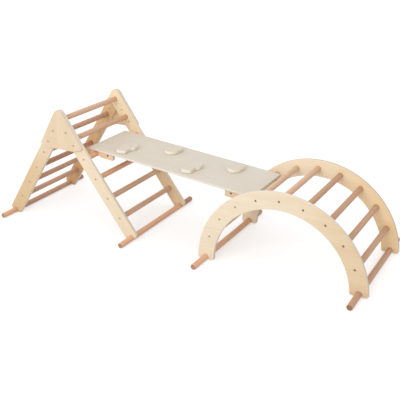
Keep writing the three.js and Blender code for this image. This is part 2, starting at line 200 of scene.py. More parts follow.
def birch_ply(name, thickness, golden=(0.1, 0.1), reach=(-1, 1), lean=0, layers=PLY_LAYERS,
              end_dark=0.32, veneers=(VENEER_PALE, VENEER_GOLD), back=0, back_veneers=()):
    """Plywood whose veneer turns from the first of its tones to the second along x, where golden
    is the share of the second tone at the two ends of reach. Lean turns the grain. The side
    that back points to may have a veneer of its own, which is partly painted light and shade
    on the frames' inner faces."""
    material, start = new_material(name)
    place = start.node("TexCoord", output="Object")
    facing = start.node("TexCoord", output="Normal")
    if lean:
        place, facing = (field.node("VectorRotate", {"rotation_type": "Y_AXIS"},
                                    {"Vector": field, "Angle": lean}) for field in (place, facing))
    number = start.node("ObjectInfo", output="Object Index")
    across = place.along("Y")
    sheet = place.moved(start.vector(x=number * 0.73, z=number * 0.41))
    drift = sheet.stretched((1.2, 2, 7)).noise(2.2, 2)
    warp = sheet.stretched((1.5, 1, 9)).noise(3, 2)
    rings = sheet.stretched((2.2, 4, 46)).moved(start.vector(z=warp * 1.6)).noise(2.4, 4, 0.6)
    flecks = sheet.stretched((34, 300, 620)).noise(1, 2, 0.55).between(0.60, 0.72)
    grain = rings.between(0.34, 0.68) * 0.6 + drift.between(0.3, 0.7) * 0.4
    warmth = place.along("X").between(*reach) * (golden[1] - golden[0]) + golden[0]
    warmth = (warmth + (drift - 0.5) * 0.35).between(0, 1)
    face = warmth.blend(grain.blend(*veneers[0]), grain.blend(*veneers[1]))
    # The back face's veneer is partly painted light and shade.
    if back:
        back_face = warmth.blend(grain.blend(*back_veneers[0]), grain.blend(*back_veneers[1]))
        face = (across * back).between(-MM, MM).blend(face, back_face)
    face = face.node("VectorMath", {"operation": "SCALE"}, {0: face, "Scale": 1 - flecks * 0.08})
    depth = thickness / 2 - abs(across)
    layer = depth / PLY_STEP
    band = layer % 2
    cross_ply = band.between(0.92, 1.08) - band.between(1.92, 2)
    seam = abs(layer % 1 - 0.5).between(0.42, 0.49)
    streaks = sheet.stretched((90, 900, 90)).noise(1, 2)
    edge = (cross_ply * 0.75 + streaks * 0.25).blend(*layers)
    edge = (seam * 0.5).blend(edge, PLY_GLUE)
    # Edges across the grain darken towards end grain, and this is partly painted shade: only edges
    # that face sideways or up darken, while those that face down stay pale.
    end_grain_and_shade = abs(facing.along("X")).between(0.2, 1) * facing.along("Z").between(-0.3, -0.05)
    edge = (end_grain_and_shade * end_dark).blend(edge, PLY_END_AND_SHADE)
    in_edge = depth.between(PLY_STEP * 0.9, PLY_STEP)
    roughness = 0.46 + rings * 0.10 + in_edge * 0.14
    height = rings * 0.5 - flecks * 0.5
    finish_material(start, in_edge.blend(face, edge), roughness, height, 0.06 * MM)
    return material


def rounded(corners, steps=6):
    """An outline that runs anticlockwise. A corner is (x, z, radius)."""
    outline = []
    for index, (x, z, radius) in enumerate(corners):
        point = Vector((x, z))
        if not radius:
            outline.append(point)
            continue
        back = (Vector(corners[index - 1][:2]) - point).normalized()
        ahead = (Vector(corners[(index + 1) % len(corners)][:2]) - point).normalized()
        half = back.angle(ahead) / 2
        centre = point + (back + ahead).normalized() * (radius / math.sin(half))
        start = point + back * (radius / math.tan(half)) - centre
        end = point + ahead * (radius / math.tan(half)) - centre
        sweep = math.atan2(start.x * end.y - start.y * end.x, start.dot(end))
        for step in range(steps + 1):
            turn = sweep * step / steps
            outline.append(centre + Matrix.Rotation(turn, 2) @ start)
    area = sum(a.x * b.y - b.x * a.y for a, b in zip(outline, outline[1:] + outline[:1]))
    return outline if area > 0 else outline[::-1]


def arc(x, z, radius, start, end, steps):
    """Corners along an arc, from one angle to another in degrees."""
    turns = [math.radians(start + (end - start) * step / steps) for step in range(steps + 1)]
    return [(x + radius * math.cos(turn), z + radius * math.sin(turn), 0) for turn in turns]


def smooth_mesh(name, points, faces):
    mesh = bpy.data.meshes.new(name)
    mesh.from_pydata(points, [], faces)
    mesh.polygons.foreach_set("use_smooth", [True] * len(faces))
    return mesh


SMOOTH_ANGLE = math.radians(35)


def edge_normals(outline):
    """For each stretch of an outline, the outward directions at its start and end."""
    count = len(outline)
    stretches = [outline[(index + 1) % count] - outline[index] for index in range(count)]
    squares = [Vector((stretch.y, -stretch.x)) for stretch in stretches]
    starts = []
    ends = []
    for index in range(count):
        before, here, after = squares[index - 1], squares[index], squares[(index + 1) % count]
        starts.append((before + here if before.angle(here) < SMOOTH_ANGLE else here).normalized())
        ends.append((here + after if after.angle(here) < SMOOTH_ANGLE else here).normalized())
    return starts, ends


def inset(outline, distance):
    """The outline moved inwards, corner for corner."""
    moved = []
    for index, point in enumerate(outline):
        before = (point - outline[index - 1]).normalized()
        after = (outline[(index + 1) % len(outline)] - point).normalized()
        first = Vector((before.y, -before.x))
        second = Vector((after.y, -after.x))
        moved.append(point - (first + second) * (distance / (1 + first.dot(second))))
    return moved


HOLE_SEGMENTS = 28


def cut_sheet(name, outline, thickness, edge_round=EDGE_ROUND, holes=(), round_steps=4):
    """A sheet in local x and z, its thickness along y. A hole is (x, z, side, profile), and a
    profile is the (radius, depth) of each ring from the face to the hole's floor."""
    half = thickness / 2
    count = len(outline)
    starts, ends = edge_normals(outline)
    bend = [math.pi / 2 * step / round_steps for step in range(round_steps + 1)]
    rings = [(turn, -1) for turn in bend] + [(turn, 1) for turn in bend[::-1]]
    points = []
    for turn, side in rings:
        y = side * (half - edge_round * (1 - math.cos(turn)))
        ring_outline = inset(outline, edge_round * (1 - math.sin(turn)))
        points += [(point.x, y, point.y) for point in ring_outline]

    def leaning(flat, ring):
        turn, side = rings[ring]
        return Vector((flat.x * math.sin(turn), side * math.cos(turn), flat.y * math.sin(turn)))

    faces = []
    normals = []
    for ring in range(len(rings) - 1):
        for index in range(count):
            following = (index + 1) % count
            faces.append((ring * count + index, (ring + 1) * count + index,
                          (ring + 1) * count + following, ring * count + following))
            normals.append([leaning(starts[index], ring), leaning(starts[index], ring + 1),
                            leaning(ends[index], ring + 1), leaning(ends[index], ring)])
    for side, first in ((-1, 0), (1, (len(rings) - 1) * count)):
        square_out = Vector((0, side, 0))
        loops = [list(range(first, first + count))]
        for x, z, hole_side, profile in holes:
            if hole_side != side:
                continue
            before = None
            for radius, depth in profile:
                loop = list(range(len(points), len(points) + HOLE_SEGMENTS))
                for index in range(HOLE_SEGMENTS):
                    turn = 2 * math.pi * index / HOLE_SEGMENTS
                    points.append((x + radius * math.cos(turn), side * (half - depth),
                                   z + radius * math.sin(turn)))
                if before is None:
                    loops.append(loop)
                else:
                    for index in range(HOLE_SEGMENTS):
                        following = (index + 1) % HOLE_SEGMENTS
                        quad = [before[index], loop[index], loop[following], before[following]]
                        faces.append(quad if side > 0 else quad[::-1])
                        to_middle = [Vector((x - points[corner][0], 0, z - points[corner][2]))
                                     for corner in faces[-1]]
                        normals.append([inwards.normalized() for inwards in to_middle])
                before = loop
            faces.append(before if side < 0 else before[::-1])
            normals.append([square_out] * HOLE_SEGMENTS)
        flat = [[Vector((points[corner][0], points[corner][2], 0)) for corner in loop]
                for loop in loops]
        numbered = [corner for loop in loops for corner in loop]
        for triangle in tessellate_polygon(flat):
            a, b, c = (points[numbered[corner]] for corner in triangle)
            area = (b[0] - a[0]) * (c[2] - a[2]) - (c[0] - a[0]) * (b[2] - a[2])
            ordered = triangle if area * side < 0 else triangle[::-1]
            faces.append([numbered[corner] for corner in ordered])
            normals.append([square_out] * 3)
    mesh = smooth_mesh(name, points, faces)
    mesh.normals_split_custom_set([tuple(normal) for corners in normals for normal in corners])
    mesh.update()
    return mesh


BOARD_FIGURES = 50


def add_piece(name, mesh, material, body, nodes=(), place=None):
    """Each piece has a number of its own, which shifts the figure of its wood."""
    mesh.materials.append(material)
    piece = bpy.data.objects.new(name, mesh)
    bpy.context.scene.collection.objects.link(piece)
    if place is not None:
        piece.matrix_world = place
    piece.pass_index = len(bpy.data.objects) % BOARD_FIGURES
    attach(piece, body)
    if nodes:
        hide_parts(*nodes)


def leg_point(leg, along, across):
    """A place on a leg, measured down its middle line from the apex rung and out from it."""
    return (leg * (along * math.cos(LEAN) + across * math.sin(LEAN)),
            across * math.cos(LEAN) - along * math.sin(LEAN))


def meeting(a, b, c, d):
    """The point where the line from a to b meets the line from c to d."""
    a, b, c, d = (Vector(point) for point in (a, b, c, d))
    share = (c - a).cross(d - c) / (b - a).cross(d - c)
    return tuple(a.lerp(b, share))


def leg_outline(leg):
    foot_x = leg * (RIGHT_FOOT.x - APEX.x)
    foot_z = RIGHT_FOOT.z - APEX.z
    floor_z = LEG_FLOOR_GAP - APEX.z
    mouth = (LEG_END - NOTCH_RADIUS * math.cos(LEAN)) / math.sin(LEAN)
    flat_along = -(floor_z + LEG_HALF * math.cos(LEAN)) / math.sin(LEAN)
    corners = [(*leg_point(leg, LADDER_LENGTH + LEG_END, LEG_HALF), LEG_CORNER),
               (foot_x + leg * NOTCH_RADIUS, foot_z - mouth, NOTCH_CORNER)]
    notch = arc(0, 0, NOTCH_RADIUS, 0, 180, NOTCH_STEPS)
    corners += [(foot_x + leg * x, foot_z + z, 0) for x, z, _ in notch]
    corners += [(foot_x - leg * NOTCH_RADIUS, floor_z, NOTCH_CORNER),
                (*leg_point(leg, flat_along, -LEG_HALF), LEG_HEEL)]
    head_corner = leg_point(leg, HEAD_REACH, LEG_HALF)
    left_slope = (leg_point(-1, HEAD_REACH, LEG_HALF), (-HEAD_TOP_HALF, HEAD_RISE))
    across = -LEG_HALF if leg > 0 else -LEG_HALF - MITRE_GAP
    mitre = (leg_point(1, 0, across), leg_point(1, LADDER_LENGTH, across))
    if leg > 0:
        corners += [(*meeting(*mitre, *left_slope), 0), (-HEAD_TOP_HALF, HEAD_RISE, HEAD_ROUND),
                    (HEAD_TOP_HALF, HEAD_RISE, HEAD_ROUND)]
    else:
        inner_edge = (leg_point(-1, 0, -LEG_HALF), leg_point(-1, LADDER_LENGTH, -LEG_HALF))
        corners += [(*meeting(*mitre, *inner_edge), 0), (*meeting(*mitre, *left_slope), 0)]
    return rounded(corners + [(*head_corner, 0)])


VENEER_BRIGHT = [(0.965, 0.815, 0.575, 1), (0.920, 0.750, 0.495, 1)]
VENEER_STRAW = [(0.880, 0.640, 0.385, 1), (0.800, 0.560, 0.315, 1)]
# The darker amber tone is partly painted shade.
VENEER_AMBER_AND_SHADE = [(0.770, 0.475, 0.240, 1), (0.560, 0.305, 0.130, 1)]
PLY_FRESH = [(0.950, 0.870, 0.765, 1), (0.865, 0.770, 0.660, 1)]
PLY_WARM = [(0.815, 0.735, 0.625, 1), (0.735, 0.635, 0.515, 1)]
# For each leg: the golden shares and their reach, the layers at its edge, and the veneers of
# its inner face. The inner-face veneers are partly painted light and shade, and the far left
# leg's dark amber is painted shade.
LEG_TONES = {
    ("left", "near"): ((0.15, 0.95), (0.1, 0.5), PLY_FRESH, VENEER_PALE, VENEER_GOLD),
    ("left", "far"): ((0.45, 1.2), (0.1, 0.74), PLY_FRESH, VENEER_STRAW, VENEER_AMBER_AND_SHADE),
    ("right", "near"): ((-0.05, 0.1), (0.1, 0.74), PLY_WARM, VENEER_PALE, VENEER_GOLD),
    ("right", "far"): ((0, 0.6), (0.1, 0.74), PLY_WARM, VENEER_BRIGHT, VENEER_STRAW)}

for leg_name, leg in LEGS:
    for side_name, side in SIDES:
        first_rung = 0 if leg > 0 else 1
        holes = [(*leg_point(leg, RUNG_STEP * rung, 0), -side, RUNG_SOCKET)
                 for rung in range(first_rung, LADDER_SPACES)]
        holes += [(*leg_point(leg, RUNG_STEP * rung, 0), side, SCREW_HOLE)
                  for rung in RUNGS_BELOW_GUSSET]
        holes += [(*leg_point(leg, reach, 0), -side, NUT_HOLE) for reach in BOLT_REACHES]
        name = f"leg_{leg_name}_{side_name}"
        sheet = cut_sheet(f"{name}_sheet", leg_outline(leg), PANEL_THICKNESS, holes=holes)
        golden, reach, layers, *inner_veneers = LEG_TONES[leg_name, side_name]
        grain_lean = -LEAN if leg > 0 else math.pi + LEAN
        birch = birch_ply(f"birch_{name}", PANEL_THICKNESS, golden, reach, grain_lean, layers,
                          back=-side, back_veneers=inner_veneers)
        add_piece(f"{name}_birch", sheet, birch, "triangle", [name],
                  Matrix.Translation((APEX.x, side * PANEL_CENTRE, APEX.z)))

# Gusset plates: 12 mm birch plywood on the outer faces of the legs, tying each pair of legs
# together at the top. Each has four counterbored holes for its bolts, and its grain stands
# upright.
GUSSET_THICKNESS = 12 * MM
GUSSET_FACE = 266.3 * MM
GUSSET_DROP = 164 * MM
GUSSET_FLAT_HALF = 89 * MM
GUSSET_CORNER = 9 * MM
GUSSET_BLEND = 24 * MM
HEAD_HOLE = [(6.1 * MM, 0), (5.85 * MM, 0.3 * MM), (5.85 * MM, 3 * MM)]
VENEER_CREAM = [(0.865, 0.700, 0.515, 1), (0.800, 0.622, 0.422, 1)]

gusset_half = [(GUSSET_FLAT_HALF, -GUSSET_DROP, GUSSET_BLEND),
               (*leg_point(1, HEAD_REACH, LEG_HALF), GUSSET_CORNER),
               (HEAD_TOP_HALF, HEAD_RISE, HEAD_ROUND)]
gusset_outline = rounded(gusset_half + [(-x, z, radius) for x, z, radius in gusset_half[::-1]])
for side_name, side in SIDES:
    holes = [(*leg_point(leg, reach, 0), side, HEAD_HOLE)
             for leg in (-1, 1) for reach in BOLT_REACHES]
    sheet = cut_sheet(f"gusset_{side_name}_sheet", gusset_outline, GUSSET_THICKNESS, holes=holes)
    place = Matrix.Translation((APEX.x, side * (GUSSET_FACE - GUSSET_THICKNESS / 2), APEX.z))
    # The inner face is darker and more golden: painted shade, where it lies recessed between the
    # legs.
    birch = birch_ply(f"birch_gusset_{side_name}", GUSSET_THICKNESS, lean=math.pi / 2,
                      layers=PLY_WARM, veneers=(VENEER_CREAM, VENEER_GOLD),
                      back=-side, back_veneers=(VENEER_STRAW, VENEER_GOLD))
    add_piece(f"gusset_{side_name}_birch", sheet, birch, "triangle",
              [f"gusset_{side_name}"], place)

# Rungs and foot dowels of the triangle: 30 mm beech dowels, each in a tone of its own, which
# partly stands for painted light and shade. Rungs end in the legs' sockets. The two foot dowels
# run on past the legs as stubs with rounded ends; the near stubs may be lighter, painted light,
# and the stubs on the far side are darker, painted shade.
DOWEL_RADIUS = 15 * MM
RUNG_HALF = 241.7 * MM
RUNG_CHAMFER = 0.8 * MM
CHAMFER_STEPS = 2
STUB_ROUND = 4 * MM
STUB_STEPS = 6
BEECH_LIGHT = (0.745, 0.487, 0.328, 1)
BEECH_DARK = (0.602, 0.342, 0.205, 1)
BEECH_FLECK = (0.420, 0.222, 0.125, 1)
BEECH_END = (0.310, 0.172, 0.102, 1)
# Tones of single sticks. They partly stand for painted light and shade: lighter for lit stubs and
# rungs, darker for shaded ones.
TONE_PLAIN = (1, 1, 1)
TONE_PALE = (1.07, 1.12, 1.17)
TONE_WHITISH = (1.16, 1.30, 1.40)
TONE_LIGHTER = (1.23, 1.17, 1.11)
TONE_TAN = (0.92, 0.89, 0.94)
TONE_BROWN = (0.83, 0.78, 0.75)
TONE_DARK = (0.75, 0.65, 0.64)
TONE_ORANGE = (1.03, 0.93, 0.77)
# The stretches of y over which a foot dowel's tone turns into that of its stubs.
NEAR_STUB = (-0.29, -0.22)
FAR_STUB = (0.245, 0.262)


def beech_dowel(name, tone, near_tone, fade):
    """Beech for one stick, in a tone of its own that partly stands for painted light and shade. A
    foot dowel has another tone at its near end, fading over a stretch of y, which is painted light
    where it is lighter, and a darker far stub, painted shade."""
    material, start = new_material(name)
    place = start.node("TexCoord", output="Object")
    drift = place.stretched((3.1, 0.4, 3.1)).noise(3, 2)
    fibres = place.stretched((420, 9, 420)).noise(1, 3, 0.6)
    rings = place.stretched((60, 1.1, 60)).noise(1.4, 3)
    flecks = place.stretched((700, 95, 700)).noise(1, 1).between(0.63, 0.72)
    figure = drift.between(0.32, 0.68) * 0.5 + rings.between(0.35, 0.65) * 0.3 + fibres * 0.2
    base = figure.blend(BEECH_LIGHT, BEECH_DARK)
    base = (flecks * 0.45).blend(base, BEECH_FLECK)
    facing_end = abs(start.node("TexCoord", output="Normal").along("Y")).between(0.6, 0.95)
    base = (facing_end * 0.8).blend(base, BEECH_END)
    # A lighter near-end tone is painted light, and the far stub's darker tone is painted shade.
    toned = place.along("Y").between(*fade).blend(base.stretched(near_tone), base.stretched(tone))
    base = place.along("Y").between(*FAR_STUB).blend(toned, base.stretched(TONE_DARK))
    finish_material(start, base, 0.44 + fibres * 0.16, fibres * 0.6 - flecks * 0.4, 0.05 * MM, 0.36)
    return material


DOWEL_SEGMENTS = 40
SHARP_ANGLE = math.radians(38)


def turned(name, profile, places, segments=DOWEL_SEGMENTS):
    """Closed turnings along y, one at each place. A profile entry is (radius, y), with the
    number of flat sides as a third value where it isn't round."""
    points = []
    faces = []
    for place in places:
        first = len(points)
        for radius, y, *flats in profile:
            for index in range(segments):
                turn = 2 * math.pi * index / segments
                reach = radius
                if flats:
                    half_flat = math.pi / flats[0]
                    reach /= math.cos((turn + half_flat) % (2 * half_flat) - half_flat)
                points.append(place @ Vector((reach * math.cos(turn), y, reach * math.sin(turn))))
        for ring in range(len(profile) - 1):
            low = first + ring * segments
            for index in range(segments):
                following = (index + 1) % segments
                faces.append((low + index, low + segments + index,
                              low + segments + following, low + following))
        last = first + (len(profile) - 1) * segments
        faces.append(tuple(range(first, first + segments)))
        faces.append(tuple(range(last + segments - 1, last - 1, -1)))
    mesh = smooth_mesh(name, points, faces)
    mesh.set_sharp_from_angle(angle=SHARP_ANGLE)
    return mesh


def add_dowel(node, half, end_round, steps, body, tone, near_tone, fade=NEAR_STUB):
    bend = [math.pi / 2 * step / steps for step in range(steps + 1)]
    end = [(DOWEL_RADIUS - end_round * (1 - math.sin(turn)),
            half - end_round * (1 - math.cos(turn))) for turn in bend]
    profile = [(radius, -y) for radius, y in end] + end[::-1]
    centre = middle(node)
    mesh = turned(f"{node}_turning", profile, [Matrix.Translation((centre.x, 0, centre.z))])
    beech = beech_dowel(f"beech_{node}", tone, near_tone, fade)
    add_piece(f"{node}_beech", mesh, beech, body, [node])


def add_rung(node, body, tone):
    add_dowel(node, RUNG_HALF, RUNG_CHAMFER, CHAMFER_STEPS, body, tone, tone)


def add_foot_dowel(node, body, tone, near_tone, fade=NEAR_STUB):
    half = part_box(node)[1][1]
    add_dowel(node, half, STUB_ROUND, STUB_STEPS, body, tone, near_tone, fade)


add_rung("apex_rung", "triangle", TONE_PALE)
for number, tone in enumerate([TONE_TAN, TONE_TAN, TONE_DARK, TONE_TAN, TONE_TAN], 1):
    add_rung(f"ladder_rung_left_{number}", "triangle", tone)
for number, tone in enumerate([TONE_PLAIN, TONE_LIGHTER, TONE_LIGHTER, TONE_PALE, TONE_PALE], 1):
    add_rung(f"ladder_rung_right_{number}", "triangle", tone)
add_foot_dowel("foot_dowel_left", "triangle", TONE_TAN, TONE_LIGHTER)
add_foot_dowel("foot_dowel_right", "triangle", TONE_LIGHTER, TONE_LIGHTER)

# Bolts and screws of the triangle: steel with a satin plating. Socket heads lie flush in the
# gussets with sleeve nuts in the legs' inner faces, and countersunk screws hold the rungs
# from outside.
SATIN_LIGHT = (0.580, 0.475, 0.360, 1)
SATIN_DARK = (0.430, 0.340, 0.245, 1)
HEX_HALF = 1.9 * MM
SHANK_RADIUS = 3 * MM
BOLT_SEGMENTS = 24
HEAD_PROFILE = [(HEX_HALF, 1.6 * MM, 6), (HEX_HALF, 0.2 * MM, 6), (2.4 * MM, 0), (4.9 * MM, 0),
                (5.4 * MM, 0.5 * MM), (5.4 * MM, 2.6 * MM), (SHANK_RADIUS, 2.6 * MM)]
NUT_PROFILE = [(SHANK_RADIUS, 10 * MM), (4.4 * MM, 10 * MM), (4.4 * MM, 0.4 * MM), (4 * MM, 0),
               (2.4 * MM, 0), (HEX_HALF, 0.2 * MM, 6), (HEX_HALF, 1.6 * MM, 6)]
SCREW_PROFILE = [(HEX_HALF, 1.7 * MM, 6), (HEX_HALF, 0.5 * MM, 6), (2.4 * MM, 0.35 * MM),
                 (4.8 * MM, 0.4 * MM), (5.4 * MM, 0.8 * MM), (5.4 * MM, 1.75 * MM)]
GUSSET_BOLT_LENGTH = 30.3 * MM
PANEL_FACE = PANEL_CENTRE + PANEL_THICKNESS / 2


def plated_steel(name, light, dark):
    material, start = new_material(name)
    place = start.node("TexCoord", output="Object")
    patches = place.noise(260, 3)
    scratches = place.stretched((900, 900, 120)).noise(1, 3)
    base = (patches * 0.6 + scratches * 0.4).between(0.3, 0.7).blend(dark, light)
    finish_material(start, base, 0.36 + scratches * 0.2, scratches, 0.02 * MM, 0.5, 0.85)
    return material


def looking_out(side, x, y, z):
    """Turns a profile that starts at its head, so that the head looks out on one side."""
    turn = Matrix.Identity(4) if side < 0 else Matrix.Rotation(math.pi, 4, "X")
    return Matrix.Translation((x, y, z)) @ turn


satin = plated_steel("satin_steel", SATIN_LIGHT, SATIN_DARK)
bolt_profile = HEAD_PROFILE + [(radius, GUSSET_BOLT_LENGTH - y, *flats)
                               for radius, y, *flats in NUT_PROFILE]
bolt_spots = [leg_point(leg, reach, 0) for leg in (-1, 1) for reach in BOLT_REACHES]
for side_name, side in SIDES:
    for number, (x, z) in enumerate(bolt_spots, 1):
        node = f"gusset_bolt_{side_name}_{number}"
        place = looking_out(side, APEX.x + x, side * GUSSET_FACE, APEX.z + z)
        mesh = turned(f"{node}_turning", bolt_profile, [place], BOLT_SEGMENTS)
        add_piece(f"{node}_steel", mesh, satin, "triangle", [node])
screwed_rungs = [middle(f"ladder_rung_{leg_name}_{rung}")
                 for leg_name, leg in LEGS for rung in RUNGS_BELOW_GUSSET]
screw_places = [looking_out(side, rung.x, side * PANEL_FACE, rung.z)
                for side_name, side in SIDES for rung in screwed_rungs]
mesh = turned("rung_screws_triangle_turnings", SCREW_PROFILE, screw_places, BOLT_SEGMENTS)
add_piece("rung_screws_triangle", mesh, satin, "triangle")

# Arch: two half rings cut from 18 mm birch plywood, nine beech rungs in sockets between them,
# a screw from outside at each rung end, and a notch over a long dowel under each foot.
ARCH_RADIUS = 404 * MM
ARCH_HALF = 45 * MM
ARCH_FLOOR_GAP = 4 * MM
ARCH_CORNER = 9 * MM
OUTER_STEPS = 120
INNER_STEPS = 100

arch_top = middle("arch_rung_5")
arch_foot = middle("arch_foot_dowel_right")
ARCH_CENTRE = Vector((arch_top.x, 0, arch_top.z - ARCH_RADIUS))
foot_x = arch_foot.x - ARCH_CENTRE.x
foot_z = arch_foot.z - ARCH_CENTRE.z
floor_z = ARCH_FLOOR_GAP - ARCH_CENTRE.z


def foot_notch(x):
    inner = [(x + NOTCH_RADIUS, floor_z, NOTCH_CORNER)]
    inner += arc(x, foot_z, NOTCH_RADIUS, 0, 180, NOTCH_STEPS)
    return inner + [(x - NOTCH_RADIUS, floor_z, NOTCH_CORNER)]


def ring_arc(radius, steps):
    """One edge of a half ring, from floor to floor, with a rounded corner at each end."""
    end = math.degrees(math.asin(floor_z / radius))
    points = arc(0, 0, radius, end, 180 - end, steps)
    return [(*points[0][:2], ARCH_CORNER)] + points[2:-2] + [(*points[-1][:2], ARCH_CORNER)]


arch_outline = rounded(
    ring_arc(ARCH_RADIUS + ARCH_HALF, OUTER_STEPS) + foot_notch(-foot_x)[::-1]
    + ring_arc(ARCH_RADIUS - ARCH_HALF, INNER_STEPS)[::-1] + foot_notch(foot_x)[::-1])
arch_rungs = [middle(f"arch_rung_{number}") - ARCH_CENTRE for number in range(1, 10)]
VENEER_LIGHT = [(0.975, 0.835, 0.635, 1), (0.930, 0.780, 0.570, 1)]
VENEER_MILKY = [(0.938, 0.808, 0.625, 1), (0.878, 0.735, 0.548, 1)]
VENEER_HONEY = [(0.970, 0.735, 0.445, 1), (0.920, 0.670, 0.385, 1)]
PLY_TANNED = [(0.735, 0.630, 0.510, 1), (0.650, 0.535, 0.410, 1)]
# For each panel, as for each leg. The far panel's inner veneers are lighter, painted light
# where the near panel shades them, and their golden share is partly painted shade.
ARCH_TONES = {"near": ((0, 0.6), (-0.3, 0.4), PLY_LAYERS, VENEER_MILKY, VENEER_GOLD),
              "far": ((0, 0.92), (-0.12, 0.46), PLY_TANNED, VENEER_LIGHT, VENEER_HONEY)}

for side_name, side in SIDES:
    holes = [(rung.x, rung.z, -side, RUNG_SOCKET) for rung in arch_rungs]
    holes += [(rung.x, rung.z, side, SCREW_HOLE) for rung in arch_rungs]
    sheet = cut_sheet(f"arch_panel_{side_name}_sheet", arch_outline, PANEL_THICKNESS, holes=holes)
    golden, reach, layers, *inner_veneers = ARCH_TONES[side_name]
    birch = birch_ply(f"birch_arch_{side_name}", PANEL_THICKNESS, golden, reach, layers=layers,
                      veneers=(VENEER_MILKY, VENEER_GOLD), back=-side, back_veneers=inner_veneers)
    add_piece(f"arch_panel_{side_name}_birch", sheet, birch, "arch",
              [f"arch_panel_{side_name}"],
              Matrix.Translation((ARCH_CENTRE.x, side * PANEL_CENTRE, ARCH_CENTRE.z)))

# The arch's rung tones also partly stand for painted light and shade.
arch_rung_tones = [TONE_PLAIN] * 3 + [TONE_WHITISH, TONE_PALE] + [TONE_BROWN] * 4
for number, tone in enumerate(arch_rung_tones, 1):
    add_rung(f"arch_rung_{number}", "arch", tone)
add_foot_dowel("arch_foot_dowel_left", "arch", TONE_ORANGE, TONE_LIGHTER, (-0.15, 0.2))
add_foot_dowel("arch_foot_dowel_right", "arch", TONE_BROWN, TONE_BROWN)

# The screws of the first three rungs are plated like the triangle's, and the others bronzed.
BRONZE_LIGHT = (0.330, 0.245, 0.170, 1)
BRONZE_DARK = (0.190, 0.130, 0.085, 1)
bronze = plated_steel("bronzed_steel", BRONZE_LIGHT, BRONZE_DARK)
for part, finish, rungs in (("left", satin, arch_rungs[:3]), ("right", bronze, arch_rungs[3:])):
    screw_places = [looking_out(side, ARCH_CENTRE.x + rung.x, side * PANEL_FACE,
                                ARCH_CENTRE.z + rung.z)
                    for side_name, side in SIDES for rung in rungs]
    mesh = turned(f"rung_screws_arch_{part}_turnings", SCREW_PROFILE, screw_places, BOLT_SEGMENTS)
    add_piece(f"rung_screws_arch_{part}", mesh, finish, "arch")

# Ramp board: 12 mm birch plywood, paler and greyer than the frames, with eased edges. It runs
# from a rung of the triangle down to a rung of the arch and a little past both.
HOOK_SPACING = 928 * MM
RAMP_WIDTH = 336 * MM
RAMP_THICKNESS = 12 * MM
RAMP_OVERHANG = 42 * MM
RAMP_CORNER = 9 * MM
RAMP_EDGE_ROUND = 2.4 * MM
BOARD_UNDERSIDE = 22.1 * MM
BOARD_TOP = BOARD_UNDERSIDE + RAMP_THICKNESS
VENEER_RAMP = [(0.730, 0.670, 0.580, 1), (0.700, 0.632, 0.542, 1)]
VENEER_SAND = [(0.720, 0.640, 0.520, 1), (0.682, 0.594, 0.470, 1)]
PLY_WASHED = [(0.920, 0.860, 0.775, 1), (0.865, 0.795, 0.700, 1)]
# The turn that lays an upright sheet flat.
LYING = Matrix.Rotation(-math.pi / 2, 4, "X")

low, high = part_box("ramp_board")
ladder_rest = middle("ladder_rung_right_2")
arch_rest = middle("arch_rung_3")
slope = math.atan2(ladder_rest.z - arch_rest.z, arch_rest.x - ladder_rest.x)
ramp_place = (Matrix.Translation((ladder_rest.x, (low[1] + high[1]) / 2, ladder_rest.z))
              @ Matrix.Rotation(slope, 4, "Y"))


def rectangle(half_x, half_z, radius):
    return rounded([(-half_x, -half_z, radius), (half_x, -half_z, radius),
                    (half_x, half_z, radius), (-half_x, half_z, radius)])


def on_ramp(x, y, z):
    """A place on the ramp: x runs down it from the triangle's rung, and z stands square to it."""
    return ramp_place @ Matrix.Translation((x, y, z))


board_outline = rectangle(HOOK_SPACING / 2 + RAMP_OVERHANG, RAMP_WIDTH / 2, RAMP_CORNER)
board_place = on_ramp(HOOK_SPACING / 2, 0, BOARD_UNDERSIDE + RAMP_THICKNESS / 2) @ LYING
# The ramp's end edges are darkened strongly: painted shade.
ramp_birch = birch_ply("birch_ramp", RAMP_THICKNESS, (0.4, 0.15), (-0.5, 0.3),
                       layers=PLY_WASHED, end_dark=0.75, veneers=(VENEER_RAMP, VENEER_SAND))
sheet = cut_sheet("ramp_board_sheet", board_outline, RAMP_THICKNESS, RAMP_EDGE_ROUND)
add_piece("ramp_board_birch", sheet, ramp_birch, "ramp", ["ramp_board"], board_place)

# Hook brackets: four plates of 18 mm birch plywood under the board, two at each end. Each has
# a notch that drops over a rung, with a flared inner wall that guides the rung in.
RAMP_ENDS = [("triangle", 0, 1), ("arch", HOOK_SPACING, -1)]
HOOK_INSET = 10 * MM
HOOK_OUTER_FACE = RAMP_WIDTH / 2 - HOOK_INSET
HOOK_NOTCH = 15.8 * MM
HOOK_NOTCH_STEPS = 24
HOOK_TIP = [(-38 * MM, 21.8 * MM, 5 * MM), (-38 * MM, -15 * MM, 7 * MM),
            (-HOOK_NOTCH, -15 * MM, 5 * MM)]
HOOK_TAIL = [(HOOK_NOTCH, -2 * MM, 0), (32 * MM, -14 * MM, 7 * MM), (116 * MM, -14 * MM, 7 * MM),
             (116 * MM, 21.8 * MM, 5 * MM)]
HOOK_BOLT_REACH = 80 * MM
HOOK_BOLT_RISE = 8.8 * MM
VENEER_BUFF = [(0.850, 0.690, 0.480, 1), (0.780, 0.610, 0.400, 1)]
VENEER_PEACH_LIT = [(0.965, 0.745, 0.540, 1), (0.910, 0.680, 0.465, 1)]

